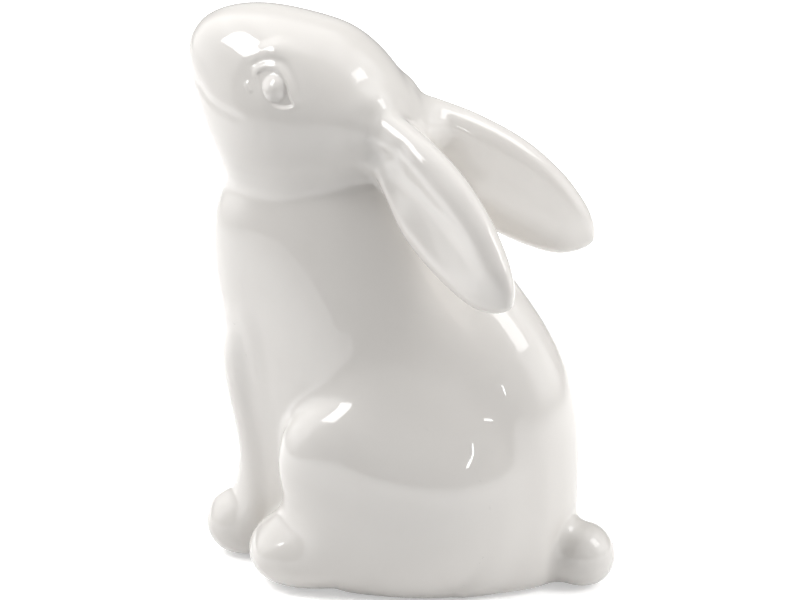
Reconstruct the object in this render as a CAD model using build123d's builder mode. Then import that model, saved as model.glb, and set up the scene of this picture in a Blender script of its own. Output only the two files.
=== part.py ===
"""Slip-cast ceramic rabbit figurine that sits with its nose raised and its ears laid back.

Every casting is one solid: a hollow torso and head, and solid ears, legs, feet and tail,
each trimmed to the surface that it is luted to. The rabbit faces -Y, its left side is +X,
+Z is up, and the origin is the middle of the foot face that it stands on.
"""

import os
from math import cos, pi, sin

from build123d import *

os.makedirs("parts", exist_ok=True)

# Torso casting, in millimetres like all lengths; angles are in degrees
torso_height = 88.0
torso_depth = 80.0
torso_width = 44.0
wall = 4.0
foot_rounding = 4.0
drain_diameter = 18.0

# Head casting with its eyes
head_length = 55.0
head_height = 41.0
head_width = 36.0
head_tilt = 27.6
neck_opening = 16.0
eye_length = 10.5
eye_height = 7.4
eye_recess = 1.0
eye_slant = 24.0
eyeball_diameter = 5.6
eyeball_seat = 0.5

# Ears
ear_length = 50.6
ear_width = 19.6
ear_thickness = 7.6
ear_hollow_width = 13.0
ear_hollow_depth = 2.4
ear_spread = 29.0
ear_drop = 35.6
ear_turn = 6.8

# Forelegs with their paws
foreleg_height = 54.0
foreleg_width = 14.4
foreleg_depth = 13.0
paw_length = 16.8
paw_height = 14.2

# Haunches, hind feet and tail
haunch_length = 47.0
haunch_height = 47.0
haunch_width = 26.0
haunch_yaw = 10.0
hind_foot_length = 32.0
hind_foot_width = 19.0
hind_foot_height = 18.8
hind_foot_yaw = 4.0
hind_foot_pitch = 12.0
tail_diameter = 14.0

# Torso sections from the foot up: height, reach of the chest, reach of the back, width
torso_shares = [
    (0.000, 0.350, 0.402, 0.93),
    (0.125, 0.391, 0.425, 0.99),
    (0.250, 0.425, 0.431, 1.00),
    (0.375, 0.467, 0.430, 0.98),
    (0.500, 0.514, 0.404, 0.95),
    (0.625, 0.550, 0.333, 0.89),
    (0.750, 0.568, 0.223, 0.81),
    (0.875, 0.555, 0.096, 0.71),
    (1.000, 0.512, -0.012, 0.59),
]
# Head sections from the nape to the nose: rise of the middle, width, height
head_shares = [
    (0.098, 0.00, 0.00),
    (0.097, 0.26, 0.25),
    (0.085, 0.53, 0.51),
    (0.069, 0.79, 0.74),
    (0.043, 0.96, 0.94),
    (0.034, 1.00, 1.00),
    (0.030, 0.90, 0.91),
    (0.060, 0.71, 0.71),
    (0.088, 0.52, 0.47),
    (0.096, 0.29, 0.25),
    (0.098, 0.00, 0.00),
]
# Ear sections from the root to the tip: distance, width, thickness
ear_shares = [
    (0.00, 0.54, 0.92),
    (0.10, 0.68, 0.97),
    (0.20, 0.80, 1.00),
    (0.30, 0.90, 1.00),
    (0.40, 0.97, 0.98),
    (0.50, 0.99, 0.95),
    (0.60, 0.95, 0.90),
    (0.70, 0.86, 0.82),
    (0.80, 0.70, 0.70),
    (0.90, 0.46, 0.50),
    (0.97, 0.22, 0.27),
    (1.00, 0.00, 0.00),
]
# Foreleg sections from the paw up: height, reach of the middle, width, depth
foreleg_shares = [
    (0.04, 0.412, 0.50, 0.60),
    (0.20, 0.411, 0.96, 0.95),
    (0.36, 0.401, 0.97, 0.88),
    (0.52, 0.408, 0.97, 0.90),
    (0.68, 0.428, 0.98, 0.95),
    (0.84, 0.438, 1.00, 1.00),
    (1.00, 0.400, 0.80, 0.80),
]
# Haunch sections from the hip to the knee: rise of the middle, width, height
haunch_shares = [
    (0.000, 0.00, 0.00),
    (0.000, 0.31, 0.31),
    (0.000, 0.58, 0.59),
    (0.002, 0.80, 0.81),
    (0.010, 0.94, 0.95),
    (0.028, 1.00, 1.00),
    (0.060, 0.98, 0.94),
    (0.098, 0.87, 0.78),
    (0.141, 0.68, 0.55),
    (0.180, 0.38, 0.28),
    (0.195, 0.00, 0.00),
]
# A plain egg in the same even steps around its profile: distance from its first pole, and girth
egg_turns = [pi * step / (len(head_shares) - 1) for step in range(1, len(head_shares) - 1)]
egg_shares = [(0, 0), *[((1 - cos(turn)) / 2, sin(turn)) for turn in egg_turns], (1, 0)]

# Where things sit: across, along and up, as shares of the piece that they sit on
drain_share = 0.18
head_seat_shares = (0.0335, 0.946)
neck_shares = (0.29, 0.80)
ear_root_shares = (0.217, 0.232, 0.179)
eye_shares = (0.44, 0.194, 0.531)
ear_lean_share = 0.32
ear_hollow_shares = (0.05, 0.96, 0.13)
foreleg_share = 0.46
paw_shares = (0.362, 0.47)
hip_shares = (0.262, 0.28, 0.38)
heel_shares = (0.365, 0.775, 0.64)
tail_shares = (0.45, 0.47)


def loft_ellipses(plane, stations, lean_share=0.5, mode=Mode.ADD):
    """Lofts upright ellipses along a plane's normal: distance, rise, half width, half height.

    Each is highest where the lean share of its width lies to the right.
    """
    sections = []
    for distance, rise, half_width, half_height in stations:
        station_plane = plane.offset(distance)
        if half_width == 0:
            sections.append(Vertex(*station_plane.from_local_coords((0, rise, 0))))
            continue
        right_width = 2 * lean_share * half_width
        left_width = 2 * half_width - right_width
        peak = (half_width - right_width, rise)
        with BuildSketch(station_plane, mode=Mode.PRIVATE) as section:
            with BuildLine():
                EllipticalCenterArc(peak, right_width, half_height, start_angle=-90, arc_size=180)
                EllipticalCenterArc(peak, left_width, half_height, start_angle=90, arc_size=180)
            make_face()
        sections.append(section.sketch)
    loft(sections=sections, mode=mode)


def egg_stations(length, width, height, start=0, rise=0):
    """Sections of a plain egg of that size."""
    stations = []
    for along, girth in egg_shares:
        stations.append((start + along * length, rise, girth * width / 2, girth * height / 2))
    return stations


def shaped_egg_stations(shares, length, width, height):
    """Sections of an egg whose rise, width and height are given at each step of its profile."""
    stations = []
    for (along, _), (rise, wide, high) in zip(egg_shares, shares):
        stations.append((along * length, rise * height, wide * width / 2, high * height / 2))
    return stations


def torso_stations(inset):
    """Torso sections, set in from the outside by a wall."""
    stations = []
    for height, chest, back, width in torso_shares:
        chest_y = inset - chest * torso_depth
        back_y = back * torso_depth - inset
        level = max(height * torso_height, inset)
        half_width = width * torso_width / 2 - inset
        stations.append((level, (chest_y + back_y) / 2, half_width, (back_y - chest_y) / 2))
    return stations


# Outside of the torso and the head, which every other casting is trimmed to
with BuildPart() as torso_form:
    loft_ellipses(Plane.XY, torso_stations(0))
    fillet(torso_form.edges().group_by(Axis.Z)[0], foot_rounding)

head_plane = Plane(
    origin=(0, -head_seat_shares[0] * torso_depth, head_seat_shares[1] * torso_height),
    x_dir=(1, 0, 0),
    z_dir=Vector(0, -1, 0).rotate(Axis.X, -head_tilt),
)
with BuildPart() as head_form:
    loft_ellipses(head_plane, shaped_egg_stations(head_shares, head_length, head_width, head_height))

# Torso: hollow, open at the neck, and drained through the foot
with BuildPart() as torso_shell:
    add(torso_form.part)
    loft_ellipses(Plane.XY, torso_stations(wall), mode=Mode.SUBTRACT)
    with BuildSketch(Plane.XY):
        with Locations((0, drain_share * torso_depth)):
            Circle(drain_diameter / 2)
    extrude(amount=wall, mode=Mode.SUBTRACT)
    add(head_form.part, mode=Mode.SUBTRACT)

# Head: hollow, vented into the neck, with an eyeball standing in each almond recess
with BuildPart() as head_cavity:
    inner_sizes = [size - 2 * wall for size in (head_length, head_width, head_height)]
    loft_ellipses(head_plane.offset(wall), shaped_egg_stations(head_shares, *inner_sizes))
    with BuildSketch(Plane.XY.offset(neck_shares[1] * torso_height)):
        with Locations((0, -neck_shares[0] * torso_depth)):
            Circle(neck_opening / 2)
    extrude(amount=head_height / 2)

eye_middle = head_plane.from_local_coords(
    (eye_shares[0] * head_width, eye_shares[1] * head_height, eye_shares[2] * head_length)
)
eye_plane = Plane(origin=eye_middle, x_dir=(1, 0, 0), z_dir=Vector(0, 1, 0).rotate(Axis.X, -eye_slant))
with BuildPart() as eye_socket:
    loft_ellipses(eye_plane, egg_stations(eye_length, 2 * eye_recess, eye_height, start=-eye_length / 2))
with BuildPart() as eyeball:
    eyeball_depth = 2 * (eye_recess + eyeball_seat)
    loft_ellipses(
        eye_plane,
        egg_stations(eyeball_diameter, eyeball_depth, eyeball_diameter, start=-eyeball_diameter / 2),
    )

with BuildPart() as head_shell:
    add(head_form.part)
    add(head_cavity.part, mode=Mode.SUBTRACT)
    add(eye_socket.part, mode=Mode.SUBTRACT)
    mirror(eye_socket.part, about=Plane.YZ, mode=Mode.SUBTRACT)
    add(eyeball.part)
    mirror(eyeball.part, about=Plane.YZ)

# Ears: leaf-shaped blades, thick along the upper rim, with a hollow on the outer side
ear_axis = Vector(0, 1, 0).rotate(Axis.X, -ear_drop).rotate(Axis.Z, -ear_spread)
ear_out = Vector(1, 0, 0).rotate(Axis.Z, -ear_spread).rotate(Axis((0, 0, 0), ear_axis), -ear_turn)
ear_plane = Plane(
    origin=head_plane.from_local_coords(
        (ear_root_shares[0] * head_width, ear_root_shares[1] * head_height, ear_root_shares[2] * head_length)
    ),
    x_dir=ear_out.cross(ear_axis),
    z_dir=ear_axis,
)
hollow_middle = (-ear_hollow_shares[2] * ear_width, ear_thickness / 2, ear_hollow_shares[0] * ear_length)
hollow_plane = Plane(
    origin=ear_plane.from_local_coords(hollow_middle), x_dir=ear_plane.x_dir, z_dir=ear_plane.z_dir
)
with BuildPart() as left_ear:
    ear_stations = []
    for along, width, thickness in ear_shares:
        ear_stations.append((along * ear_length, 0, width * ear_width / 2, thickness * ear_thickness / 2))
    loft_ellipses(ear_plane, ear_stations, ear_lean_share)
    hollow_length = (ear_hollow_shares[1] - ear_hollow_shares[0]) * ear_length
    hollow_stations = egg_stations(hollow_length, ear_hollow_width, 2 * ear_hollow_depth)
    loft_ellipses(hollow_plane, hollow_stations, ear_lean_share, mode=Mode.SUBTRACT)
    add(head_form.part, mode=Mode.SUBTRACT)
    add(torso_form.part, mode=Mode.SUBTRACT)

# Haunches: thighs that swell out of the flank and rise to the knee
haunch_plane = Plane(
    origin=(hip_shares[0] * torso_width, hip_shares[1] * torso_depth, hip_shares[2] * haunch_height),
    x_dir=Vector(1, 0, 0).rotate(Axis.Z, haunch_yaw),
    z_dir=Vector(0, -1, 0).rotate(Axis.Z, haunch_yaw),
)
with BuildPart() as left_haunch:
    haunch_stations = shaped_egg_stations(haunch_shares, haunch_length, haunch_width, haunch_height)
    loft_ellipses(haunch_plane, haunch_stations)
    split(bisect_by=Plane.XY)
    add(torso_form.part, mode=Mode.SUBTRACT)

# Forelegs: upright columns on round paws, side by side on the middle plane
foreleg_middle = foreleg_share * foreleg_width
paw_plane = Plane(
    origin=(foreleg_middle, -paw_shares[0] * torso_depth, paw_shares[1] * paw_height),
    x_dir=(1, 0, 0),
    z_dir=(0, -1, 0),
)
with BuildPart() as left_foreleg:
    foreleg_stations = []
    for height, reach, width, depth in foreleg_shares:
        half_sizes = (width * foreleg_width / 2, depth * foreleg_depth / 2)
        foreleg_stations.append((height * foreleg_height, -reach * torso_depth, *half_sizes))
    loft_ellipses(Plane((foreleg_middle, 0, 0)), foreleg_stations)
    loft_ellipses(paw_plane, egg_stations(paw_length, foreleg_width, paw_height))
    split(bisect_by=Plane.XY)
    split(bisect_by=Plane.YZ)
    add(torso_form.part, mode=Mode.SUBTRACT)
    add(left_haunch.part, mode=Mode.SUBTRACT)

# Hind feet: they come out from under the haunches beside the paws
knee_y = haunch_plane.origin.Y - haunch_length
heel_y = knee_y + heel_shares[1] * hind_foot_length
foot_plane = Plane(
    origin=(heel_shares[0] * torso_width, heel_y, heel_shares[2] * hind_foot_height),
    x_dir=Vector(1, 0, 0).rotate(Axis.Z, hind_foot_yaw),
    z_dir=Vector(0, -1, 0).rotate(Axis.X, hind_foot_pitch).rotate(Axis.Z, hind_foot_yaw),
)
with BuildPart() as left_hind_foot:
    loft_ellipses(foot_plane, egg_stations(hind_foot_length, hind_foot_width, hind_foot_height))
    split(bisect_by=Plane.XY)
    add(torso_form.part, mode=Mode.SUBTRACT)
    add(left_haunch.part, mode=Mode.SUBTRACT)
    add(left_foreleg.part, mode=Mode.SUBTRACT)

# Tail: a ball against the rump
with BuildPart() as tail:
    with Locations((0, tail_shares[0] * torso_depth, tail_shares[1] * tail_diameter)):
        Sphere(tail_diameter / 2)
    split(bisect_by=Plane.XY)
    add(torso_form.part, mode=Mode.SUBTRACT)

# The right side is the left side's mirror image
with BuildPart() as right_ear:
    mirror(left_ear.part, about=Plane.YZ)
with BuildPart() as right_haunch:
    mirror(left_haunch.part, about=Plane.YZ)
with BuildPart() as right_foreleg:
    mirror(left_foreleg.part, about=Plane.YZ)
with BuildPart() as right_hind_foot:
    mirror(left_hind_foot.part, about=Plane.YZ)

castings = {
    "torso_shell": torso_shell,
    "head_shell": head_shell,
    "left_ear": left_ear,
    "right_ear": right_ear,
    "left_foreleg": left_foreleg,
    "right_foreleg": right_foreleg,
    "left_haunch": left_haunch,
    "right_haunch": right_haunch,
    "left_hind_foot": left_hind_foot,
    "right_hind_foot": right_hind_foot,
    "tail": tail,
}
for name, casting in castings.items():
    casting.part.label = name
    export_step(casting.part, f"parts/{name}.step")
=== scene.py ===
"""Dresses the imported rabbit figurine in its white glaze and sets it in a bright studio.

The castings of the frame are luted together here the way a potter does it: every seam gets a
fillet of slip, the whole is sponged smooth and the face is tooled in. The clay is then cut back
along the seams into one closed mesh for each casting, so the glaze runs over them without a break.
Sculpting is done in millimetres, in the frame's own axes, and the meshes are made in metres.
"""

import logging
import math
from dataclasses import dataclass, field
from enum import Enum
from itertools import product
from typing import Callable

import bmesh
import bpy
import numpy as np
import openvdb
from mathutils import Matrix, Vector

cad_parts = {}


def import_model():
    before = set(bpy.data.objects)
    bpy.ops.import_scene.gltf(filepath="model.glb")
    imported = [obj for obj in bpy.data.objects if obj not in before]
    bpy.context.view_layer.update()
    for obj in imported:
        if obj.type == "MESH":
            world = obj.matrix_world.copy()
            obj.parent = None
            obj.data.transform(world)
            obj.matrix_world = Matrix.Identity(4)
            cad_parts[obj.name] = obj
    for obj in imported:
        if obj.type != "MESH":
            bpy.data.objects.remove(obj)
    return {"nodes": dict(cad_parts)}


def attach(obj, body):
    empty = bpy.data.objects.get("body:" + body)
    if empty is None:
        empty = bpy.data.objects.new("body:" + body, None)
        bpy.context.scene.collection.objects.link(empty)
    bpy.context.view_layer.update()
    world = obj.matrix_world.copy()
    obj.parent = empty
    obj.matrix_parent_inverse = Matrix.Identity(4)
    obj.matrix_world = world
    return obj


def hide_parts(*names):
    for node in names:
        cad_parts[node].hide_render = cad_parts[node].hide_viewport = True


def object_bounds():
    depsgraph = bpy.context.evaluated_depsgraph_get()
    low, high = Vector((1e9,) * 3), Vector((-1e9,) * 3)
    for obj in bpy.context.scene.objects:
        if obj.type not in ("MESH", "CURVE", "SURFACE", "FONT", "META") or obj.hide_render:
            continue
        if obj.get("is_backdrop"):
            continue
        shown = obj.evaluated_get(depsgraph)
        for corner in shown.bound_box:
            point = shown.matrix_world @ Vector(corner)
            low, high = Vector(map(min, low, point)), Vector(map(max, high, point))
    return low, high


LOG = logging.getLogger("rabbit_figurine")
MM = 0.001
BODY = "root"
CURVE_STEPS = 8
TINY = 1e-9

# Standard deviations beyond which a bell curve counts as nothing, in a blur and in a bump.
BLUR_REACH = 3.0
BUMP_REACH = 3.5

Point = tuple[float, float, float]
Colour = tuple[float, float, float, float]
Tooling = Callable[[np.ndarray], np.ndarray]


class Side(Enum):
    """The rabbit's own left and right, as the sign of x."""

    LEFT = 1
    RIGHT = -1


def srgb(code: str) -> Colour:
    """Turns an sRGB hex colour into linear light.

    Args:
        code: six hex digits after a hash sign.

    Returns:
        Linear red, green and blue with an alpha of one.
    """
    parts = [int(code[start:start + 2], 16) / 255 for start in (1, 3, 5)]
    linear = [part / 12.92 if part <= 0.04045 else ((part + 0.055) / 1.055) ** 2.4 for part in parts]
    return (linear[0], linear[1], linear[2], 1.0)


def smooth_step(values: np.ndarray, low: float, high: float) -> np.ndarray:
    """Eases from 0 at low to 1 at high."""
    share = np.clip((values - low) / (high - low), 0, 1)
    return share * share * (3 - 2 * share)


def window_along(axis: int, span: slice) -> tuple[slice, ...]:
    """Gives the window that takes a span of one axis and all of the others."""
    return tuple(span if index == axis else slice(None) for index in range(3))


@dataclass(frozen=True)
class Axes:
    """Local axes of a form: a point and three unit vectors, in millimetres."""

    origin: np.ndarray
    across: np.ndarray
    up: np.ndarray
    along: np.ndarray

    def local(self, points: np.ndarray) -> np.ndarray:
        """Gives points, one a row, as across, up and along."""
        return (points - self.origin) @ np.stack([self.across, self.up, self.along], axis=1)


@dataclass(frozen=True)
class ClayBlock:
    """The block of voxels that the figurine is sculpted in, even about the middle plane x = 0."""

    voxel: float
    low: np.ndarray
    shape: tuple[int, int, int]

    @classmethod
    def around(cls, box: tuple[Vector, Vector], voxel: float, margin: float) -> "ClayBlock":
        """Lays out a block around a box.

        Args:
            box: the lowest and highest corner, in metres.
            voxel: edge of a voxel.
            margin: room left on every side.

        Returns:
            The block, with the same room left and right of the middle plane.
        """
        low = np.floor((np.array(box[0]) / MM - margin) / voxel).astype(int)
        high = np.ceil((np.array(box[1]) / MM + margin) / voxel).astype(int)
        reach = max(-low[0], high[0])
        low[0] = -reach
        high[0] = reach
        return cls(voxel, low, tuple(int(count) for count in high - low + 1))

    def coordinate(self, axis: int) -> np.ndarray:
        """Gives one coordinate of every voxel, shaped to broadcast over the block."""
        line = (np.arange(self.shape[axis]) + self.low[axis]) * self.voxel
        return line.reshape([-1 if index == axis else 1 for index in range(3)]).astype(np.float32)

    def distance(self, node: bpy.types.Object, band: float) -> np.ndarray:
        """Measures how far every voxel is from a CAD node.

        Args:
            node: the frame's object.
            band: distance beyond which the value stays level.

        Returns:
            Signed distances, negative inside the node.
        """
        mesh = node.data
        mesh.calc_loop_triangles()
        points = np.empty(len(mesh.vertices) * 3, np.float32)
        mesh.vertices.foreach_get("co", points)
        triangles = np.empty(len(mesh.loop_triangles) * 3, np.int32)
        mesh.loop_triangles.foreach_get("vertices", triangles)
        levels = openvdb.FloatGrid.createLevelSetFromPolygons(
            points.reshape(-1, 3) / MM,
            triangles=triangles.reshape(-1, 3).astype(np.uint32),
            transform=openvdb.createLinearTransform(voxelSize=self.voxel),
            halfWidth=band / self.voxel,
        )
        values = np.empty(self.shape, np.float32)
        levels.copyToArray(values, ijk=tuple(int(start) for start in self.low))
        return values

    def blurred(self, values: np.ndarray, spread: float) -> np.ndarray:
        """Blurs voxel values with a bell curve.

        Args:
            values: one value for each voxel.
            spread: standard deviation in millimetres.

        Returns:
            The blurred values.
        """
        reach = math.ceil(BLUR_REACH * spread / self.voxel)
        steps = np.arange(-reach, reach + 1)
        weights = np.exp(-0.5 * (steps * self.voxel / spread) ** 2)
        weights = (weights / weights.sum()).astype(np.float32)
        for axis in range(3):
            room = [(reach, reach) if index == axis else (0, 0) for index in range(3)]
            padded = np.pad(values, room, "edge")
            length = values.shape[axis]
            total = np.zeros_like(values)
            for start, weight in enumerate(weights):
                total += weight * padded[window_along(axis, slice(start, start + length))]
            values = total
        return values

    def sponged(self, values: np.ndarray, spread: float) -> np.ndarray:
        """Blurs a form's distances twice over, so that ripples go and its size stays."""
        once = self.blurred(values, spread)
        return 2 * once - self.blurred(once, spread)

    def sample(self, values: np.ndarray, points: np.ndarray) -> np.ndarray:
        """Reads voxel values at points between the voxels.

        Args:
            values: one value, or one row of values, for each voxel.
            points: one point a row.

        Returns:
            The value or row at each point.
        """
        place = points / self.voxel - self.low
        base = np.clip(np.floor(place).astype(int), 0, np.array(self.shape) - 2)
        share = (place - base).astype(np.float32)
        total = 0
        for corner in product((0, 1), repeat=3):
            weight = np.prod(np.where(corner, share, 1 - share), axis=1)
            found = values[tuple((base + corner).T)]
            total = total + (weight[:, None] * found if found.ndim > 1 else weight * found)
        return total


@dataclass(frozen=True)
class Seam:
    """Fillet of slip along a seam, whose radius eases from one value to another along an axis.

    Across the figurine, distance counts from its middle plane.
    """

    first: float
    last: float
    axis: int = 1
    start: float = 0.0
    end: float = 1.0
    crease: float = 1.2

    def radius(self, block: ClayBlock) -> np.ndarray:
        """Works out the radius all over a block.

        Args:
            block: the block of voxels.

        Returns:
            The radius at every voxel, shaped to broadcast over the block.
        """
        place = block.coordinate(self.axis)
        if self.axis == 0:
            place = np.abs(place)
        return self.first + (self.last - self.first) * smooth_step(place, self.start, self.end)


@dataclass
class Clay:
    """The figurine while it is sculpted: its castings' distances, and the joined form.

    The cosines are those between two forms' slopes that a fillet is worked out for. Beyond them the
    forms are nearly back to back or nearly level with each other. The room is in voxels.
    """

    block: ClayBlock
    band: float
    fillet_cosines: tuple[float, float] = (-0.9, 0.985)
    fillet_room: int = 2
    least_product: float = 0.01
    least_square: float = 0.1
    backing_slant: float = 0.5
    hollow_step: float = 1.0
    castings: dict[str, np.ndarray] = field(default_factory=dict)
    form: np.ndarray | None = None
    slope: np.ndarray | None = None

    def lute(self, name: str, values: np.ndarray, seam: Seam, onto: str | None = None) -> None:
        """Adds a casting and fills its seam with slip.

        Args:
            name: the casting's CAD node.
            values: its signed distances.
            seam: the fillet of slip.
            onto: the casting that the slip goes to, or nothing for all of the form. The rest of the
                form then meets the new casting in a tight crease.
        """
        self.castings[name] = values
        if self.form is None:
            self.form = values.copy()
        elif onto is None:
            self.form = self._filleted(self.form, values, seam.radius(self.block))
        else:
            luted = self._filleted(self.castings[onto], values, seam.radius(self.block))
            self.form = self._filleted(self.form, luted, np.full((1, 1, 1), seam.crease, np.float32))

    def _filleted(self, first: np.ndarray, second: np.ndarray, radius: np.ndarray) -> np.ndarray:
        """Joins two forms with a fillet that a ball would roll along.

        Args:
            first: signed distances of one form.
            second: signed distances of the other.
            radius: the ball's radius at every voxel.

        Returns:
            Signed distances of the joined form.
        """
        joined = np.minimum(first, second)
        radius = np.broadcast_to(radius, self.block.shape)
        reached = (first < radius) & (second < radius)
        spans = [np.flatnonzero(reached.any(axis=tuple({0, 1, 2} - {axis}))) for axis in range(3)]
        room = self.fillet_room
        window = tuple(slice(max(span[0] - room, 0), span[-1] + room + 1) for span in spans)
        first, second, radius = first[window], second[window], radius[window]
        slopes = [np.stack(np.gradient(form, self.block.voxel)) for form in (first, second)]
        lengths = [np.sqrt((slope * slope).sum(axis=0)) for slope in slopes]
        scale = np.maximum(lengths[0] * lengths[1], self.least_product)
        cosine = np.clip((slopes[0] * slopes[1]).sum(axis=0) / scale, *self.fillet_cosines)
        to_first, to_second = radius - first, radius - second
        between = (to_first > cosine * to_second) & (to_second > cosine * to_first)
        between &= (to_first > 0) & (to_second > 0)
        square = to_first ** 2 + to_second ** 2 - 2 * cosine * to_first * to_second
        fillet = radius - np.sqrt(np.maximum(square, 0) / (1 - cosine ** 2))
        joined[window] = np.where(between, np.minimum(joined[window], fillet), joined[window])
        return joined

    def smooth_over(self, centre: np.ndarray, reach: float, spread: float, core: float) -> None:
        """Wipes out what stands on the surface around a point.

        Args:
            centre: the point.
            reach: radius of the wiped patch.
            spread: how hard it is wiped, as the blur's standard deviation.
            core: share of the radius within which it is wiped fully.
        """
        middle = np.round(centre / self.block.voxel).astype(int) - self.block.low
        half = math.ceil((reach + BLUR_REACH * spread) / self.block.voxel)
        window = tuple(slice(max(at - half, 0), at + half + 1) for at in middle)
        places = [self.block.coordinate(axis)[window_along(axis, window[axis])] for axis in range(3)]
        away = np.sqrt(sum((place - at) ** 2 for place, at in zip(places, centre)))
        share = 1 - smooth_step(away, core * reach, reach)
        rough = self.form[window]
        solid = self._backed(rough, places[0], centre[0])
        deepest = BLUR_REACH * spread
        smooth = self.block.sponged(np.clip(solid, -deepest, deepest), spread)
        self.form[window] = rough + share * np.where(solid < rough - self.hollow_step, 0, smooth - rough)

    def swell(self, line: np.ndarray, rise: np.ndarray, spread: float) -> None:
        """Moves the surface outwards along a line of points.

        Args:
            line: the points, one a row.
            rise: how far the surface moves at each of them.
            spread: how wide the swelling is, as a bell curve's standard deviation.
        """
        ends = np.stack([line.min(axis=0) - BUMP_REACH * spread, line.max(axis=0) + BUMP_REACH * spread])
        low, high = np.maximum(np.round(ends / self.block.voxel).astype(int) - self.block.low, 0)
        window = tuple(slice(start, end + 1) for start, end in zip(low, high))
        places = [self.block.coordinate(axis)[window_along(axis, window[axis])] for axis in range(3)]
        lift = np.zeros_like(self.form[window])
        for point, height in zip(line, rise):
            bells = [np.exp(-0.5 * ((place - at) / spread) ** 2) for place, at in zip(places, point)]
            lift = np.maximum(lift, height * bells[0] * bells[1] * bells[2])
        self.form[window] -= lift

    def _backed(self, values: np.ndarray, across: np.ndarray, side: float) -> np.ndarray:
        """Fills the hollow behind a wall, so that its thinness doesn't tell in the blur.

        Args:
            values: signed distances around a patch on one side of the figurine.
            across: distance across the figurine, shaped to broadcast over them.
            side: any distance across on that side.

        Returns:
            Distances that keep falling from the outside in.
        """
        slant = self.backing_slant * np.abs(across)
        inwards = slice(None, None, -1 if side > 0 else 1)
        return np.minimum.accumulate((values - slant)[inwards], axis=0)[inwards] + slant

    def stand_on_floor(self, rounding: float) -> None:
        """Cuts the clay level at the floor and rounds the edge of the cut.

        Args:
            rounding: radius of the rounded edge.
        """
        below = -self.block.coordinate(2)
        deep = np.maximum(rounding + self.form, 0)
        low = np.maximum(rounding + below, 0)
        self.form = np.minimum(-rounding, np.maximum(self.form, below)) + np.hypot(deep, low)
        self.slope = None

    def owners(self) -> np.ndarray:
        """Says which casting each voxel belongs to.

        Returns:
            The casting's place in the clay, counted from 1, with 0 outside the clay.
        """
        owner = np.zeros(self.block.shape, np.uint8)
        nearest = np.full(self.block.shape, np.inf, np.float32)
        for number, values in enumerate(self.castings.values(), start=1):
            closer = values < nearest
            owner[closer] = number
            nearest[closer] = values[closer]
        owner[self.form >= 0] = 0
        return owner

    def surface_slope(self) -> np.ndarray:
        """Works out the form's slope once.

        Returns:
            The slope at every voxel, which points out of the clay.
        """
        if self.slope is None:
            self.slope = np.stack(np.gradient(self.form, self.block.voxel), axis=-1).astype(np.float32)
        return self.slope

    def settle(self, points: np.ndarray, tooling: Tooling | None, rounds: int) -> np.ndarray:
        """Moves points onto the clay's surface.

        Args:
            points: one point a row, near the surface.
            tooling: height of the tooled detail at a point, if there is any.
            rounds: number of steps.

        Returns:
            The points on the surface.
        """
        for _ in range(rounds):
            slope = self.block.sample(self.surface_slope(), points)
            height = self.block.sample(self.form, points)
            if tooling is not None:
                height = height - tooling(points)
            step = height / np.maximum((slope * slope).sum(axis=1), self.least_square)
            step = np.clip(step, -self.block.voxel, self.block.voxel)
            points = points - step[:, None] * slope
        return points

    def normals(self, points: np.ndarray, tooling: Tooling | None, reach: float) -> np.ndarray:
        """Works out the surface's normals from the form and its tooled detail.

        Args:
            points: one point a row, on the surface.
            tooling: height of the tooled detail at a point, if there is any.
            reach: half the distance over which the detail's slope is taken.

        Returns:
            One unit vector a row.
        """
        slope = self.block.sample(self.surface_slope(), points)
        if tooling is not None:
            for axis in range(3):
                offset = reach * np.eye(3)[axis]
                rise = tooling(points + offset) - tooling(points - offset)
                slope[:, axis] -= rise / (2 * reach)
        return slope / np.linalg.norm(slope, axis=1, keepdims=True)


@dataclass(frozen=True)
class Wipe:
    """A patch wiped soft with a damp sponge, on the left side and alike on the right."""

    place: Point
    reach: float
    spread: float
    core: float = 0.65

    def work(self, clay: Clay) -> None:
        """Wipes both patches."""
        for side in Side:
            clay.smooth_over(np.array(self.place) * (side.value, 1, 1), self.reach, self.spread, self.core)


@dataclass(frozen=True)
class Roll:
    """A roll of clay pressed on along a line, on the left side and alike on the right."""

    knots: tuple[Point, ...]
    spread: float
    rise: float
    taper: float = 5.0

    def work(self, clay: Clay) -> None:
        """Presses both rolls on.

        Args:
            clay: the figurine's clay.
        """
        line = smooth_curve(self.knots)
        along = np.concatenate([[0], np.cumsum(np.linalg.norm(line[1:] - line[:-1], axis=1))])
        fade = smooth_step(along, 0, self.taper) * smooth_step(along[-1] - along, 0, self.taper)
        for side in Side:
            clay.swell(line * (side.value, 1, 1), self.rise * fade, self.spread)


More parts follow.
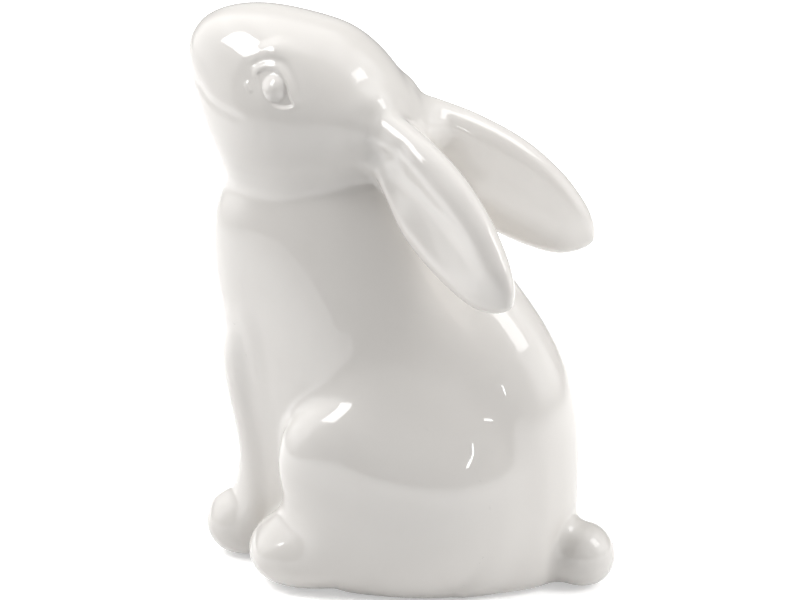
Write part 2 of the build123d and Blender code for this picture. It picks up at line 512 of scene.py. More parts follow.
class ClayCutter:
    """Cuts sculpted clay along its seams into closed meshes, one for each casting.

    Every cell of eight voxels that holds more than one owner gets one vertex, and every voxel edge
    between two owners gets one face, which both of them share. So neighbours meet vertex to vertex.
    """

    pace: float = 0.6
    sliding_rounds: int = 2
    tooling_rounds: int = 3

    def __init__(self, clay: Clay) -> None:
        """Finds the cells and faces between the owners.

        Args:
            clay: the sculpted clay.
        """
        self.clay = clay
        self.owner = clay.owners()
        corners = [self.owner[self._corner(corner)] for corner in product((0, 1), repeat=3)]
        lowest = np.minimum.reduce(corners)
        highest = np.maximum.reduce(corners)
        self.cells = np.argwhere(lowest != highest)
        self.outside = lowest[tuple(self.cells.T)] == 0
        held = np.stack([corner[tuple(self.cells.T)] for corner in corners])
        self.seam = self._owner_counts(held) > 1
        self.number = np.full(lowest.shape, -1, np.int64)
        self.number[tuple(self.cells.T)] = np.arange(len(self.cells))
        self.faces, self.first, self.second = self._faces()
        self.points = self._crossings()

    @staticmethod
    def _corner(corner: tuple[int, ...]) -> tuple[slice, ...]:
        """Gives the window on the block that holds one corner of every cell."""
        return tuple(slice(1, None) if step else slice(None, -1) for step in corner)

    @staticmethod
    def _owner_counts(held: np.ndarray) -> np.ndarray:
        """Counts the different castings among each cell's eight corners.

        Args:
            held: the owners, with a row for each corner and a column for each cell.

        Returns:
            One count for each cell.
        """
        ordered = np.sort(held, axis=0)
        fresh = np.vstack([ordered[:1] > 0, (ordered[1:] != ordered[:-1]) & (ordered[1:] > 0)])
        return fresh.sum(axis=0)

    def _faces(self) -> tuple[np.ndarray, np.ndarray, np.ndarray]:
        """Lists the faces between owners.

        Returns:
            Four vertex numbers a row, the owner behind each face and the owner in front of it.
        """
        faces, first, second = [], [], []
        for axis in range(3):
            turned = np.moveaxis(self.owner, [axis, (axis + 1) % 3, (axis + 2) % 3], [0, 1, 2])
            cells = np.moveaxis(self.number, [axis, (axis + 1) % 3, (axis + 2) % 3], [0, 1, 2])
            behind = turned[:-1, 1:-1, 1:-1]
            ahead = turned[1:, 1:-1, 1:-1]
            i, j, k = np.nonzero(behind != ahead)
            around = [cells[i, j + a, k + b] for a, b in ((0, 0), (1, 0), (1, 1), (0, 1))]
            faces.append(np.stack(around, axis=1))
            first.append(behind[i, j, k])
            second.append(ahead[i, j, k])
        return np.concatenate(faces), np.concatenate(first), np.concatenate(second)

    def _crossings(self) -> np.ndarray:
        """Places each cell's vertex at the middle of the crossings on its edges.

        Returns:
            One point a row, in millimetres.
        """
        form = self.clay.form
        total = np.zeros((len(self.cells), 3))
        count = np.zeros(len(self.cells))
        for start in product((0, 1), repeat=3):
            for axis in range(3):
                if start[axis]:
                    continue
                end = tuple(1 if index == axis else step for index, step in enumerate(start))
                at_start = tuple((self.cells + start).T)
                at_end = tuple((self.cells + end).T)
                crossed = self.owner[at_start] != self.owner[at_end]
                at_skin = (self.owner[at_start] == 0) | (self.owner[at_end] == 0)
                fall = form[at_start] - form[at_end]
                share = np.where(at_skin & (fall != 0), form[at_start] / np.where(fall == 0, 1, fall), 0.5)
                place = np.array(start, float)[None, :].repeat(len(self.cells), axis=0)
                place[:, axis] += np.clip(share, 0, 1)
                total += crossed[:, None] * place
                count += crossed
        middle = total / np.maximum(count, 1)[:, None]
        return (self.cells + middle + self.clay.block.low) * self.clay.block.voxel

    def relax(self, rounds: int) -> None:
        """Evens out the mesh: skin vertices slide on the surface, inner ones move freely.

        Args:
            rounds: number of passes.
        """
        pairs = np.concatenate([self.faces[:, [side, (side + 1) % 4]] for side in range(4)])
        at_skin_seam = self.seam & self.outside
        for _ in range(rounds):
            average = self._neighbour_average(pairs, at_skin_seam)
            shift = self.pace * (average - self.points)
            skin = np.flatnonzero(self.outside)
            slope = self.clay.block.sample(self.clay.surface_slope(), self.points[skin])
            slope /= np.linalg.norm(slope, axis=1, keepdims=True)
            shift[skin] -= (shift[skin] * slope).sum(axis=1, keepdims=True) * slope
            self.points = self.points + shift
            self.points[skin] = self.clay.settle(self.points[skin], None, self.sliding_rounds)

    def _neighbour_average(self, pairs: np.ndarray, at_skin_seam: np.ndarray) -> np.ndarray:
        """Averages each vertex's neighbours, along the seam only for a vertex on it.

        Args:
            pairs: vertex numbers at both ends of each edge, one edge a row.
            at_skin_seam: which vertices are on a seam in the skin.

        Returns:
            One point a row, which is the vertex's own where it has no neighbours.
        """
        allowed = ~at_skin_seam[pairs[:, 0]] | at_skin_seam[pairs[:, 1]]
        forth = pairs[allowed]
        backwards = ~at_skin_seam[pairs[:, 1]] | at_skin_seam[pairs[:, 0]]
        back = pairs[backwards][:, ::-1]
        links = np.concatenate([forth, back])
        count = np.bincount(links[:, 0], minlength=len(self.points))
        total = np.stack(
            [np.bincount(links[:, 0], self.points[links[:, 1], axis], len(self.points)) for axis in range(3)],
            axis=1,
        )
        return np.where(count[:, None] > 0, total / np.maximum(count, 1)[:, None], self.points)

    def tool(self, tooling: Tooling) -> None:
        """Settles the skin onto the clay's surface with its tooled detail."""
        skin = np.flatnonzero(self.outside)
        self.points[skin] = self.clay.settle(self.points[skin], tooling, self.tooling_rounds)

    def piece(self, number: int) -> tuple[np.ndarray, np.ndarray]:
        """Gathers one casting's closed mesh.

        Args:
            number: the casting's place in the clay, counted from 1.

        Returns:
            Its points and its faces, four point numbers a row.
        """
        own = np.concatenate([self.faces[self.first == number], self.faces[self.second == number][:, ::-1]])
        used, faces = np.unique(own, return_inverse=True)
        return self.points[used], faces.reshape(-1, 4)


def smooth_curve(knots: tuple[tuple[float, ...], ...], closed: bool = False) -> np.ndarray:
    """Draws a smooth curve through knots.

    Args:
        knots: the points that it passes through.
        closed: whether it returns to its start.

    Returns:
        Points along the curve, one a row.
    """
    ring = np.array(knots, float)
    before = ring[-1:] if closed else 2 * ring[:1] - ring[1:2]
    after = ring[:2] if closed else 2 * ring[-1:] - ring[-2:-1]
    ring = np.concatenate([before, ring, after])
    share = np.linspace(0, 1, CURVE_STEPS + 1)[:-1, None]
    pieces = []
    for first, second, third, fourth in zip(ring, ring[1:], ring[2:], ring[3:]):
        bend = 2 * first - 5 * second + 4 * third - fourth
        twist = 3 * second - first - 3 * third + fourth
        pieces.append(second + 0.5 * share * (third - first + share * (bend + share * twist)))
    return np.concatenate([*pieces, ring[-2:-1]])


def distance_to_curve(places: np.ndarray, curve: np.ndarray) -> tuple[np.ndarray, np.ndarray]:
    """Measures how far places are from a curve.

    Args:
        places: one point a row.
        curve: the curve's points, one a row.

    Returns:
        The distance, and how far along the curve the nearest point is.
    """
    step = curve[1:] - curve[:-1]
    length = np.maximum(np.linalg.norm(step, axis=1), TINY)
    share = ((places[:, None] - curve[:-1]) * step).sum(axis=2) / length ** 2
    share = np.clip(share, 0, 1)
    away = np.linalg.norm(places[:, None] - curve[:-1] - share[:, :, None] * step, axis=2)
    nearest = away.argmin(axis=1)
    rows = np.arange(len(places))
    start = np.concatenate([[0], np.cumsum(length)[:-1]])
    return away[rows, nearest], start[nearest] + share[rows, nearest] * length[nearest]


def inside_curve(places: np.ndarray, curve: np.ndarray) -> np.ndarray:
    """Says which places lie inside a closed curve.

    Args:
        places: one point a row.
        curve: the curve's points, one a row.

    Returns:
        One answer for each place.
    """
    across, up = places[:, 0, None], places[:, 1, None]
    start, end = curve[:-1], curve[1:]
    spans = (start[:, 1] > up) != (end[:, 1] > up)
    rise = np.where(end[:, 1] == start[:, 1], TINY, end[:, 1] - start[:, 1])
    crossing = start[:, 0] + (up - start[:, 1]) * (end[:, 0] - start[:, 0]) / rise
    return (spans & (across < crossing)).sum(axis=1) % 2 == 1


@dataclass(frozen=True)
class Stroke:
    """A line tooled into the clay's side, or a ridge left standing where its depth is negative."""

    knots: tuple[tuple[float, float], ...]
    depth: float
    width: float
    taper: float = 2.5

    def height(self, places: np.ndarray) -> np.ndarray:
        """Works out the stroke's height.

        Args:
            places: points on the side view, one a row.

        Returns:
            The height at each place, below zero in a groove.
        """
        curve = smooth_curve(self.knots)
        reach = BUMP_REACH * self.width
        near = ((places > curve.min(axis=0) - reach) & (places < curve.max(axis=0) + reach)).all(axis=1)
        height = np.zeros(len(places))
        if near.any():
            away, along = distance_to_curve(places[near], curve)
            length = np.linalg.norm(curve[1:] - curve[:-1], axis=1).sum()
            fade = smooth_step(along, 0, self.taper) * smooth_step(length - along, 0, self.taper)
            height[near] = -self.depth * fade * np.exp(-0.5 * (away / self.width) ** 2)
        return height


@dataclass(frozen=True)
class Swelling:
    """A soft bump on the clay's side, or a hollow where its height is negative."""

    middle: tuple[float, float]
    spread: tuple[float, float]
    rise: float

    def height(self, places: np.ndarray) -> np.ndarray:
        """Gives the bump's height at places on the side view."""
        share = (places - np.array(self.middle)) / np.array(self.spread)
        return self.rise * np.exp(-0.5 * (share * share).sum(axis=1))


@dataclass(frozen=True)
class Eye:
    """A tooled eye: a ball between two lids, in forward and up from the eye's middle.

    The lids' pairs of values are for the lower and the upper lid, and the sink's pair is for the
    front and the back of the eye.
    """

    opening: tuple[tuple[float, float], ...] = (
        (4.7, 0.4), (3.5, 2.3), (1.0, 3.1), (-2.0, 2.2), (-4.3, 0.4),
        (-5.5, -0.8), (-3.2, -2.5), (0.2, -2.5), (3.0, -0.9),
    )
    ball_reach: float = 2.6
    ball_rise: float = 0.8
    ball_margin: float = 0.5
    ball_floor: float = -1.0
    ball_softness: float = 0.12
    sink: tuple[float, float] = (0.12, 0.45)
    sink_span: tuple[float, float] = (0.5, 3.0)
    lid_rise: tuple[float, float] = (0.05, 0.2)
    lid_width: tuple[float, float] = (0.6, 1.0)
    lid_lift: float = 0.3
    lid_blend: float = 1.2
    lid_crest: float = 0.5
    lid_spread: float = 0.7
    edge_blend: tuple[float, float] = (-0.65, 0.3)
    marks: tuple[Stroke | Swelling, ...] = (
        Stroke(
            ((7.4, -0.6), (6.3, 1.6), (4.3, 3.7), (1.2, 4.8), (-2.3, 3.5), (-4.9, 1.4), (-6.4, -0.9)),
            0.17, 0.6,
        ),
        Stroke(((6.4, -2.1), (4.8, -2.9), (3.3, -3.5)), -0.18, 0.45, 1.2),
        Swelling((4.2, -0.8), (3.2, 2.2), -0.3),
        Swelling((4.6, 6.2), (2.4, 1.8), 0.6),
    )

    def height(self, places: np.ndarray) -> np.ndarray:
        """Works out the eye's height.

        Args:
            places: points on the side view from the eye's middle, one a row.

        Returns:
            The height at each place.
        """
        curve = smooth_curve(self.opening, closed=True)
        edge, _ = distance_to_curve(places, curve)
        edge = np.where(inside_curve(places, curve), -edge, edge)
        away = np.linalg.norm(places, axis=1)
        radius = (self.ball_reach ** 2 + self.ball_rise ** 2) / (2 * self.ball_rise)
        ball = np.sqrt(np.maximum(radius ** 2 - away ** 2, 0)) - radius + self.ball_rise
        ball = np.where(away < self.ball_reach + self.ball_margin, ball, self.ball_floor)
        sink = self.sink[0] + (self.sink[1] - self.sink[0]) * smooth_step(-places[:, 0], *self.sink_span)
        inner = self.ball_softness * np.logaddexp(ball / self.ball_softness, 0) - sink
        upper = smooth_step(places[:, 1] + self.lid_lift, -self.lid_blend, self.lid_blend)
        rise = self.lid_rise[0] + (self.lid_rise[1] - self.lid_rise[0]) * upper
        width = self.lid_width[0] + (self.lid_width[1] - self.lid_width[0]) * upper
        lid = rise * np.exp(-0.5 * ((edge - self.lid_crest * width) / (self.lid_spread * width)) ** 2)
        share = smooth_step(edge, *self.edge_blend)
        height = inner + share * (lid - inner)
        return height + sum(mark.height(places) for mark in self.marks)


@dataclass
class Torso:
    """Hollow torso casting: the body that every other casting is luted to."""

    node: str = "torso_shell"
    chest: Roll = Roll(((9.0, -41.5, 75.0), (9.5, -40.5, 66.0), (11.0, -38.5, 57.0)), 6.0, 1.0)

    def lute(self, clay: Clay, nodes: dict[str, bpy.types.Object]) -> None:
        """Lays the torso down as the first form of the clay."""
        clay.lute(self.node, clay.block.distance(nodes[self.node], clay.band), Seam(0.0, 0.0))

    def touch_up(self, clay: Clay) -> None:
        """Fills out the chest."""
        self.chest.work(clay)


@dataclass
class Head:
    """Hollow head casting with its eyes, mouth and muzzle.

    The skins are ranges of what outward tells, which is 1 on the outside of the head's egg.
    """

    node: str = "head_shell"
    seam: Seam = Seam(8.5, 2.6, axis=0, start=3.0, end=15.0)
    nape: Point = (0.0, -2.68, 83.25)
    tilt: float = 27.6
    egg_middle: Point = (0.0, 1.4, 27.5)
    egg_reach: Point = (18.0, 20.5, 27.5)
    eye_place: Point = (16.4, 8.1, 30.3)
    eye: Eye = Eye()
    eye_reach: float = 10.0
    eye_fade: float = 8.0
    eye_wipe: float = 2.6
    tooled_skin: tuple[float, float] = (0.7, 1.5)
    fading_skin: tuple[float, float] = (0.72, 0.82)
    fine_skin: tuple[float, float] = (0.8, 1.4)
    fine_eye: float = 8.5
    fine_stroke: float = 2.5
    marks: tuple[Stroke, ...] = (
        Stroke(((51.0, -1.5), (46.0, -2.6), (41.0, -3.0), (36.0, -1.9), (31.6, -0.3)), 0.3, 0.7, 5.0),
        Stroke(((54.6, 2.2), (53.6, 0.6), (52.2, -0.9), (50.6, -2.3)), 0.3, 0.4, 1.5),
    )

    def axes(self) -> Axes:
        """Works out the head's axes.

        Returns:
            The axes: across to the left, up to the brow, along to the nose.
        """
        turn = math.radians(self.tilt)
        along = np.array([0, -math.cos(turn), math.sin(turn)])
        across = np.array([1.0, 0, 0])
        return Axes(np.array(self.nape), across, np.cross(along, across), along)

    def lute(self, clay: Clay, nodes: dict[str, bpy.types.Object]) -> None:
        """Lutes the head to the neck."""
        clay.lute(self.node, clay.block.distance(nodes[self.node], clay.band), self.seam)

    def touch_up(self, clay: Clay) -> None:
        """Wipes the cast eyes flat, ready for tooling.

        Args:
            clay: the figurine's clay.
        """
        axes = self.axes()
        middle = axes.origin + np.array(self.eye_place) @ np.stack([axes.across, axes.up, axes.along])
        Wipe(tuple(middle), self.eye_reach, self.eye_wipe).work(clay)

    def outward(self, local: np.ndarray) -> np.ndarray:
        """Says how far out of the head points are: 1 on its outside, less in its hollow."""
        share = (local - np.array(self.egg_middle)) / np.array(self.egg_reach)
        return (share * share).sum(axis=1)

    def tooling(self, points: np.ndarray) -> np.ndarray:
        """Works out the height of the tooled detail.

        Args:
            points: one point a row.

        Returns:
            The height at each point, which is zero away from the head's outside.
        """
        height = np.zeros(len(points))
        local = self.axes().local(points)
        outward = self.outward(local)
        near = (outward > self.tooled_skin[0]) & (outward < self.tooled_skin[1])
        if near.any():
            side = local[near][:, [2, 1]]
            from_eye = side - np.array([self.eye_place[2], self.eye_place[1]])
            away = np.linalg.norm(from_eye, axis=1)
            rise = sum(mark.height(side) for mark in self.marks)
            at_eye = away < self.eye_reach
            fade = 1 - smooth_step(away[at_eye], self.eye_fade, self.eye_reach)
            rise[at_eye] += self.eye.height(from_eye[at_eye]) * fade
            height[near] = rise * smooth_step(outward[near], *self.fading_skin)
        return height

    def fineness(self, points: np.ndarray) -> np.ndarray:
        """Says how many times the mesh's edges are halved.

        Args:
            points: one point a row.

        Returns:
            A count for each point: 2 in the eyes and along the strokes, 0 elsewhere.
        """
        local = self.axes().local(points)
        side = local[:, [2, 1]]
        outward = self.outward(local)
        outside = (outward > self.fine_skin[0]) & (outward < self.fine_skin[1])
        away = np.linalg.norm(side - np.array([self.eye_place[2], self.eye_place[1]]), axis=1)
        detailed = away < self.fine_eye
        for mark in self.marks:
            detailed |= distance_to_curve(side, smooth_curve(mark.knots))[0] < self.fine_stroke
        return np.where(outside & detailed, 2, 0)


@dataclass
class Pair:
    """A left and a right casting that are luted on alike.

    In the name of the casting that the slip goes to, {side} stands for left or right.
    """

    name: str
    onto: str
    seam: Seam
    touches: tuple[Wipe | Roll, ...] = ()

    def lute(self, clay: Clay, nodes: dict[str, bpy.types.Object]) -> None:
        """Lutes both castings to the clay.

        Args:
            clay: the figurine's clay.
            nodes: the frame's objects by name.
        """
        for side in Side:
            node = f"{side.name.lower()}_{self.name}"
            onto = self.onto.format(side=side.name.lower())
            clay.lute(node, clay.block.distance(nodes[node], clay.band), self.seam, onto)

    def touch_up(self, clay: Clay) -> None:
        """Works the castings over by hand."""
        for touch in self.touches:
            touch.work(clay)


@dataclass
class Forelegs(Pair):
    """Solid forelegs, each with its paw."""

    name: str = "foreleg"
    onto: str = "torso_shell"
    seam: Seam = Seam(6.5, 6.5)
    touches: tuple[Wipe | Roll, ...] = (
        Wipe((7.5, -38.5, 14.0), 10.0, 2.8),
        Roll(((9.5, -41.0, 11.0), (9.5, -37.0, 13.0), (9.5, -33.0, 15.0)), 4.0, 0.8),
    )


@dataclass
class Haunches(Pair):
    """Solid haunches, crisp at the knee and wiped into the flank behind it."""

    name: str = "haunch"
    onto: str = "torso_shell"
    seam: Seam = Seam(2.2, 10.5, start=-20.0, end=8.0)
    touches: tuple[Wipe | Roll, ...] = (
        Wipe((20.0, 17.0, 22.0), 26.0, 4.5, 0.1),
        Wipe((22.0, 6.0, 40.0), 24.0, 4.0, 0.1),
        Roll(((25.3, -16.0, 34.0), (25.6, -10.0, 35.5), (25.6, -4.0, 36.5)), 4.5, 0.9),
    )


@dataclass
class HindFeet(Pair):
    """Solid hind feet, flat on top and drawn out to the haunch along the floor."""

    name: str = "hind_foot"
    onto: str = "{side}_haunch"
    seam: Seam = Seam(6.5, 6.5)
    touches: tuple[Wipe | Roll, ...] = (
        Roll(((25.0, -27.0, 6.0), (27.8, -22.0, 7.0), (28.6, -16.5, 7.5), (28.4, -9.0, 8.0)), 3.8, 3.8),
        Roll(((26.5, -22.0, 2.0), (25.5, -15.0, 2.0), (24.5, -10.0, 2.0), (24.5, -4.0, 2.0)), 3.5, 1.2),
        Wipe((27.0, -11.0, 10.0), 11.0, 3.0, 0.1),
    )


@dataclass
class Ears(Pair):
    """Solid ears, each with a hollow on its outside under a rolled upper rim."""

    name: str = "ear"
    onto: str = "head_shell"
    seam: Seam = Seam(1.8, 7.0, axis=2, start=84.0, end=95.0, crease=0.6)
    touches: tuple[Wipe | Roll, ...] = (
        Wipe((17.0, 4.0, 89.0), 9.0, 3.2, 0.4),
        Wipe((20.0, 9.5, 84.5), 9.0, 3.2, 0.4),
        Wipe((22.5, 15.5, 79.0), 9.0, 3.2, 0.4),
        Wipe((25.0, 20.0, 74.0), 8.0, 3.0, 0.4),
        Roll(
            (
                (15.3, 1.3, 95.6), (19.5, 8.2, 89.9), (22.3, 13.9, 85.9), (24.7, 19.1, 81.6),
                (26.9, 24.1, 75.9), (28.1, 27.7, 70.2),
            ),
            2.2, 1.0,
        ),
        Roll(
            (
                (11.0, 3.5, 81.0), (13.2, 7.5, 78.5), (17.5, 15.0, 73.0), (21.9, 21.4, 68.4),
                (24.5, 26.0, 65.5),
            ),
            4.0, 2.8,
        ),
    )


@dataclass
class Tail:
    """Solid ball of a tail against the rump."""

    node: str = "tail"
    seam: Seam = Seam(2.0, 2.0)

    def lute(self, clay: Clay, nodes: dict[str, bpy.types.Object]) -> None:
        """Lutes the tail to the rump."""
        clay.lute(self.node, clay.block.distance(nodes[self.node], clay.band), self.seam)

    def touch_up(self, clay: Clay) -> None:
        """Leaves the tail as it is cast."""


def add_node(
    tree: bpy.types.NodeTree, kind: str, settings: dict[str | int, object],
    links: dict[str | int, bpy.types.NodeSocket],
) -> bpy.types.Node:
    """Adds a shader node with its settings and links.

    Args:
        tree: the node tree.
        kind: the node's type name.
        settings: properties, or values of input sockets, by name.
        links: output sockets to join to input sockets, by input name.

    Returns:
        The new node.
    """
    node = tree.nodes.new(kind)
    for name, value in settings.items():
        if isinstance(name, str) and hasattr(node, name):
            setattr(node, name, value)
        else:
            node.inputs[name].default_value = value
    for name, socket in links.items():
        tree.links.new(socket, node.inputs[name])
    return node


@dataclass(frozen=True)
class GlazedEarthenware:
    """White slip-cast earthenware under a clear glaze, fired glossy.

    The body scatters light evenly and a little warm, and the glaze lies over it like a coat of
    varnish: hard, sharp highlights that wobble slightly where it flowed. The foot is wiped bare.
    Lengths are in millimetres, and the bare edge is the share of the bare height without any glaze.
    """

    name: str = "glazed_white_earthenware"
    body: str = "#EDEAE6"
    pooled: str = "#E7E3DE"
    bare: str = "#DDD6C9"
    mottle: float = 22.0
    flow: float = 7.0
    flow_height: float = 0.012
    body_roughness: float = 0.5
    glaze_roughness: float = 0.03
    glaze_index: float = 1.52
    bare_roughness: float = 0.85
    bare_height: float = 0.35
    bare_edge: float = 0.6

    def build(self) -> bpy.types.Material:
        """Makes the material.

        Returns:
            The material, glazed all over but for what stands on the floor.
        """
        material = bpy.data.materials.new(self.name)
        material.use_nodes = True
        tree = material.node_tree
        tree.nodes.clear()
        place = add_node(tree, "ShaderNodeTexCoord", {}, {}).outputs["Object"]
        cloud = add_node(
            tree, "ShaderNodeTexNoise", {"Scale": 1 / (self.mottle * MM), "Detail": 2.0}, {"Vector": place}
        )
        tone = add_node(
            tree, "ShaderNodeMix", {"data_type": "RGBA", 6: srgb(self.body), 7: srgb(self.pooled)},
            {0: cloud.outputs["Fac"]},
        )
        swell = add_node(
            tree, "ShaderNodeTexNoise", {"Scale": 1 / (self.flow * MM), "Detail": 1.0}, {"Vector": place}
        )
        ripple = add_node(
            tree, "ShaderNodeBump", {"Strength": 1.0, "Distance": self.flow_height * MM},
            {"Height": swell.outputs["Fac"]},
        )
        glazed = add_node(
            tree, "ShaderNodeBsdfPrincipled",
            {
                "Roughness": self.body_roughness, "Specular IOR Level": 0.0, "Coat Weight": 1.0,
                "Coat Roughness": self.glaze_roughness, "Coat IOR": self.glaze_index,
            },
            {"Base Color": tone.outputs[2], "Coat Normal": ripple.outputs["Normal"]},
        )
        bare = add_node(
            tree, "ShaderNodeBsdfPrincipled",
            {"Base Color": srgb(self.bare), "Roughness": self.bare_roughness}, {},
        )
        height = add_node(tree, "ShaderNodeSeparateXYZ", {}, {"Vector": place})
        wiped = add_node(
            tree, "ShaderNodeMapRange",
            {"From Min": self.bare_height * MM, "From Max": self.bare_edge * self.bare_height * MM},
            {"Value": height.outputs["Z"]},
        )
        skin = add_node(
            tree, "ShaderNodeMixShader", {},
            {0: wiped.outputs["Result"], 1: glazed.outputs[0], 2: bare.outputs[0]},
        )
        add_node(tree, "ShaderNodeOutputMaterial", {}, {"Surface": skin.outputs[0]})
        return material


@dataclass(frozen=True)
class TablePaper:
    """Uncoated white paper on the table, rolled matt.

    It scatters light evenly, so it gives the eye a soft shadow and no gloss. It glows for the camera
    and for the glaze, most of all far from the figurine, so that the background is as white as in the
    photograph. Lengths are in millimetres.
    """

    name: str = "white_table_paper"
    colour: str = "#F2F2F2"
    lit: str = "#FFFFFF"
    roughness: float = 0.9
    glow: float = 0.45
    near: float = 60.0
    far: float = 260.0

    def build(self) -> bpy.types.Material:
        """Makes the material.

        Returns:
            The material, which keeps the figurine's shadow.
        """
        material = bpy.data.materials.new(self.name)
        material.use_nodes = True
        tree = material.node_tree
        tree.nodes.clear()
        path = add_node(tree, "ShaderNodeLightPath", {}, {})
        seen = add_node(
            tree, "ShaderNodeMath", {"operation": "MAXIMUM"},
            {0: path.outputs["Is Camera Ray"], 1: path.outputs["Is Glossy Ray"]},
        )
        place = add_node(tree, "ShaderNodeTexCoord", {}, {}).outputs["Object"]
        away = add_node(tree, "ShaderNodeVectorMath", {"operation": "LENGTH"}, {0: place})
        level = add_node(
            tree, "ShaderNodeMapRange",
            {
                "interpolation_type": "SMOOTHSTEP", "To Min": self.glow, "To Max": 1.0,
                "From Min": self.near * MM, "From Max": self.far * MM,
            },
            {"Value": away.outputs["Value"]},
        )
        glow = add_node(
            tree, "ShaderNodeMath", {"operation": "MULTIPLY"},
            {0: seen.outputs[0], 1: level.outputs["Result"]},
        )
        paper = add_node(
            tree, "ShaderNodeBsdfPrincipled",
            {
                "Base Color": srgb(self.colour), "Roughness": self.roughness,
                "Specular IOR Level": 0.0, "Emission Color": srgb(self.lit),
            },
            {"Emission Strength": glow.outputs[0]},
        )
        add_node(tree, "ShaderNodeOutputMaterial", {}, {"Surface": paper.outputs[0]})
        return material


@dataclass(frozen=True)
class Softbox:
    """A lamp behind a sheet of diffuser, brightest in the middle, aimed at the figurine."""

    name: str
    azimuth: float
    elevation: float
    distance: float
    width: float
    height: float
    radiance: float
    soft_edge: float = 0.1

    def build(self, target: Vector) -> None:
        """Hangs the lamp.

        Args:
            target: the point that it is aimed at, in millimetres.
        """
        turn, lift = math.radians(self.azimuth), math.radians(self.elevation)
        direction = Vector((math.cos(turn) * math.cos(lift), math.sin(turn) * math.cos(lift), math.sin(lift)))
        data = bpy.data.lights.new(self.name, "AREA")
        data.shape = "RECTANGLE"
        data.size = self.width * MM
        data.size_y = self.height * MM
        data.energy = self.radiance * math.pi * data.size * data.size_y
        data.use_nodes = True
        tree = data.node_tree
        tree.nodes.clear()
        spot = add_node(tree, "ShaderNodeNewGeometry", {}, {}).outputs["Parametric"]
        across = add_node(tree, "ShaderNodeSeparateXYZ", {}, {"Vector": spot})
        # A sheet's coordinate runs from 0 to 1, so its distance to the nearer edge is at most a half.
        half = 0.5
        fades = []
        for axis in ("X", "Y"):
            inwards = add_node(
                tree, "ShaderNodeMath", {"operation": "PINGPONG", 1: half}, {0: across.outputs[axis]}
            )
            fade = add_node(
                tree, "ShaderNodeMapRange",
                {"interpolation_type": "SMOOTHSTEP", "From Max": half * self.soft_edge},
                {"Value": inwards.outputs[0]},
            )
            fades.append(fade.outputs["Result"])
        both = add_node(tree, "ShaderNodeMath", {"operation": "MULTIPLY"}, {0: fades[0], 1: fades[1]})
        glow = add_node(tree, "ShaderNodeEmission", {}, {"Strength": both.outputs[0]})
        add_node(tree, "ShaderNodeOutputLight", {}, {"Surface": glow.outputs[0]})
        lamp = bpy.data.objects.new(self.name, data)
        lamp.location = (target + direction * self.distance) * MM
        lamp.rotation_euler = direction.to_track_quat("Z", "Y").to_euler()
        bpy.context.scene.collection.objects.link(lamp)


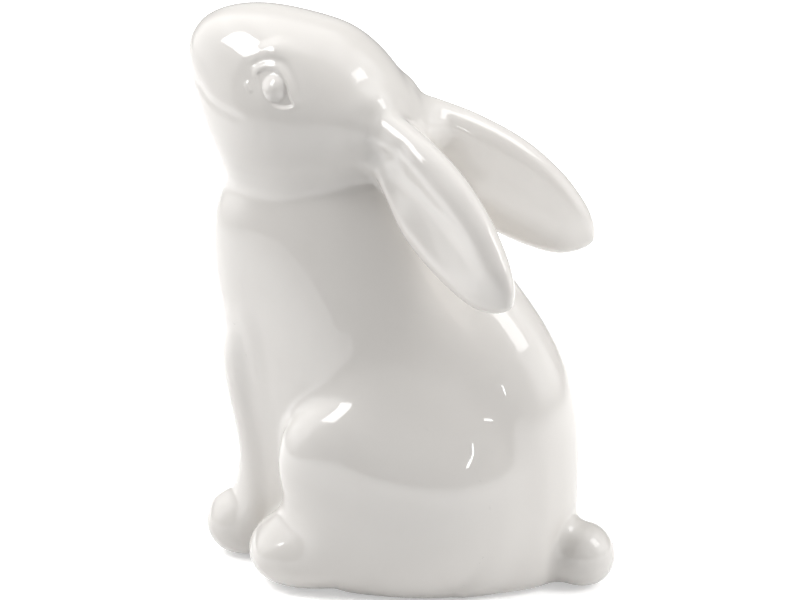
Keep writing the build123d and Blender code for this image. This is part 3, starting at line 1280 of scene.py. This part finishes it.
@dataclass
class Studio:
    """White table in a dim room, softboxes, and the camera at the photograph's angle.

    Lengths are in millimetres, apart from the camera's clipping, and the scale is in pixels of the
    photograph to the millimetre.
    """

    azimuth: float = 110.0
    elevation: float = 15.5
    distance: float = 650.0
    aim: Point = (0.0, 0.0, 60.0)
    frame_width: float = 800.0
    scale: float = 4.8
    framing: tuple[float, float] = (4.17, 1.77)
    sensor: float = 36.0
    clip_metres: tuple[float, float] = (0.01, 100.0)
    backdrop: str = "#FFFFFF"
    table: TablePaper = TablePaper()
    table_reach: float = 3000.0
    room: float = 0.02

    # Name, azimuth and elevation in degrees, distance, width, height, radiance and soft edge.
    softboxes: tuple[Softbox, ...] = (
        Softbox("left_wall", 270, 30, 700, 1000, 1000, 1.75, 0.6),
        Softbox("left_high", 275, 60, 700, 800, 400, 1.2, 0.6),
        Softbox("right_wall", 104, 30, 700, 1000, 1000, 1.5, 0.6),
        Softbox("right_low", 104, 12, 700, 800, 300, 0.6, 0.6),
        Softbox("right_high", 100, 62, 700, 800, 400, 0.9, 0.6),
        Softbox("roof", 200, 84, 700, 800, 900, 1.25, 0.6),
        Softbox("back", 200, 25, 760, 700, 600, 0.3, 0.6),
        Softbox("key", 305, 49, 680, 235, 260, 9.0),
        Softbox("rim", 90, 40, 680, 240, 360, 4.8),
        Softbox("slit", 47, 8, 680, 14, 60, 14.0),
    )

    def build(self) -> None:
        """Sets up the table, the lamps, the room and the camera."""
        self.lay_table()
        self.light_room()
        for softbox in self.softboxes:
            softbox.build(Vector(self.aim))
        self.set_camera()

    def set_camera(self) -> None:
        """Sets the camera at the photograph's angle."""
        turn, lift = math.radians(self.azimuth), math.radians(self.elevation)
        right = Vector((math.cos(turn), math.sin(turn), 0))
        back = Vector((math.sin(turn) * math.cos(lift), -math.cos(turn) * math.cos(lift), math.sin(lift)))
        up = back.cross(right)
        place = Vector(self.aim) + back * self.distance
        aim = Vector(self.aim) - right * self.framing[0] - up * self.framing[1]
        data = bpy.data.cameras.new("camera")
        data.sensor_width = self.sensor
        data.lens = self.sensor * self.scale * self.distance / self.frame_width
        data.clip_start, data.clip_end = self.clip_metres
        camera = bpy.data.objects.new("camera", data)
        camera.location = place * MM
        camera.rotation_euler = (place - aim).to_track_quat("Z", "Y").to_euler()
        bpy.context.scene.collection.objects.link(camera)
        bpy.context.scene.camera = camera

    def light_room(self) -> None:
        """Makes the room dim for the glaze to mirror, and white where the camera sees past the table."""
        world = bpy.data.worlds.new("room")
        bpy.context.scene.world = world
        world.use_nodes = True
        tree = world.node_tree
        tree.nodes.clear()
        seen = add_node(tree, "ShaderNodeLightPath", {}, {}).outputs["Is Camera Ray"]
        level = add_node(tree, "ShaderNodeMapRange", {"To Min": self.room, "To Max": 1.0}, {"Value": seen})
        sky = add_node(
            tree, "ShaderNodeBackground", {"Color": srgb(self.backdrop)},
            {"Strength": level.outputs["Result"]},
        )
        add_node(tree, "ShaderNodeOutputWorld", {}, {"Surface": sky.outputs[0]})

    def lay_table(self) -> None:
        """Lays the white table."""
        reach = self.table_reach * MM
        corners = [(-reach, -reach, 0), (reach, -reach, 0), (reach, reach, 0), (-reach, reach, 0)]
        mesh = bpy.data.meshes.new("table")
        mesh.from_pydata(corners, [], [(0, 1, 2, 3)])
        mesh.materials.append(self.table.build())
        table = bpy.data.objects.new("table", mesh)
        bpy.context.scene.collection.objects.link(table)
        table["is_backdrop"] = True


def refined(
    points: np.ndarray, faces: np.ndarray, fineness: Callable[[np.ndarray], np.ndarray]
) -> tuple[np.ndarray, list[list[int]]]:
    """Halves a mesh's edges where it needs to be finer.

    Args:
        points: one point a row.
        faces: four point numbers a row.
        fineness: how many times edges are halved at points.

    Returns:
        The finer mesh's points and faces.
    """
    mesh = bmesh.new()
    corners = [mesh.verts.new(point) for point in points.tolist()]
    for face in faces.tolist():
        mesh.faces.new([corners[corner] for corner in face])
    for level in (1, 2):
        mesh.verts.ensure_lookup_table()
        wanted = fineness(np.array([corner.co for corner in mesh.verts])) >= level
        mesh.verts.index_update()
        edges = [edge for edge in mesh.edges if wanted[edge.verts[0].index] and wanted[edge.verts[1].index]]
        bmesh.ops.subdivide_edges(mesh, edges=edges, cuts=1, use_grid_fill=True)
    mesh.verts.index_update()
    finer = np.array([corner.co for corner in mesh.verts])
    loops = [[corner.index for corner in face.verts] for face in mesh.faces]
    mesh.free()
    return finer, loops


def make_piece(
    name: str, points: np.ndarray, faces: list[list[int]], normals: np.ndarray
) -> bpy.types.Object:
    """Makes a Blender object from a cut piece.

    Args:
        name: the casting's CAD node, which the piece replaces.
        points: one point a row, in millimetres.
        faces: point numbers of each face.
        normals: one unit vector for each point.

    Returns:
        The object, riding its body.
    """
    mesh = bpy.data.meshes.new(f"glazed_{name}")
    mesh.from_pydata((points * MM).tolist(), [], faces)
    mesh.polygons.foreach_set("use_smooth", np.ones(len(mesh.polygons), bool))
    mesh.normals_split_custom_set_from_vertices(normals.tolist())
    piece = bpy.data.objects.new(mesh.name, mesh)
    bpy.context.scene.collection.objects.link(piece)
    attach(piece, BODY)
    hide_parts(name)
    return piece


@dataclass(frozen=True)
class Workshop:
    """How the whole figurine is worked: the voxels of its clay and the passes over it."""

    voxel: float = 0.65
    margin: float = 4.0
    band: float = 12.0
    sponged_depth: float = 4.0
    sponge: float = 0.8
    floor_rounding: float = 1.6
    relax_rounds: int = 4
    detail_rounds: int = 4
    normal_reach: float = 0.05


def main() -> None:
    """Sculpts the figurine, glazes it and sets up the studio."""
    logging.basicConfig(level=logging.INFO, format="%(message)s")
    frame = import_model()
    cad_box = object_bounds()
    workshop = Workshop()
    block = ClayBlock.around(cad_box, workshop.voxel, workshop.margin)
    clay = Clay(block, workshop.band)
    head = Head()
    castings = [Torso(), head, Forelegs(), Haunches(), HindFeet(), Ears(), Tail()]
    for casting in castings:
        casting.lute(clay, frame["nodes"])
    for casting in castings:
        casting.touch_up(clay)
    clay.form = np.clip(clay.form, -workshop.sponged_depth, workshop.sponged_depth)
    clay.form = block.sponged(clay.form, workshop.sponge)
    clay.stand_on_floor(workshop.floor_rounding)
    cutter = ClayCutter(clay)
    cutter.relax(workshop.relax_rounds)
    cutter.tool(head.tooling)
    glaze = GlazedEarthenware().build()
    for number, name in enumerate(clay.castings, start=1):
        points, faces = cutter.piece(number)
        if name == head.node:
            points, faces = refined(points, faces, head.fineness)
            fine = head.fineness(points) > 0
            points[fine] = clay.settle(points[fine], head.tooling, workshop.detail_rounds)
        else:
            faces = faces.tolist()
        normals = clay.normals(points, head.tooling, workshop.normal_reach)
        piece = make_piece(name, points, faces, normals)
        piece.data.materials.append(glaze)
        LOG.info("piece %s: %d faces", piece.name, len(faces))
    Studio().build()
    bpy.context.scene.view_settings.view_transform = "Standard"


if __name__ == "__main__":
    main()
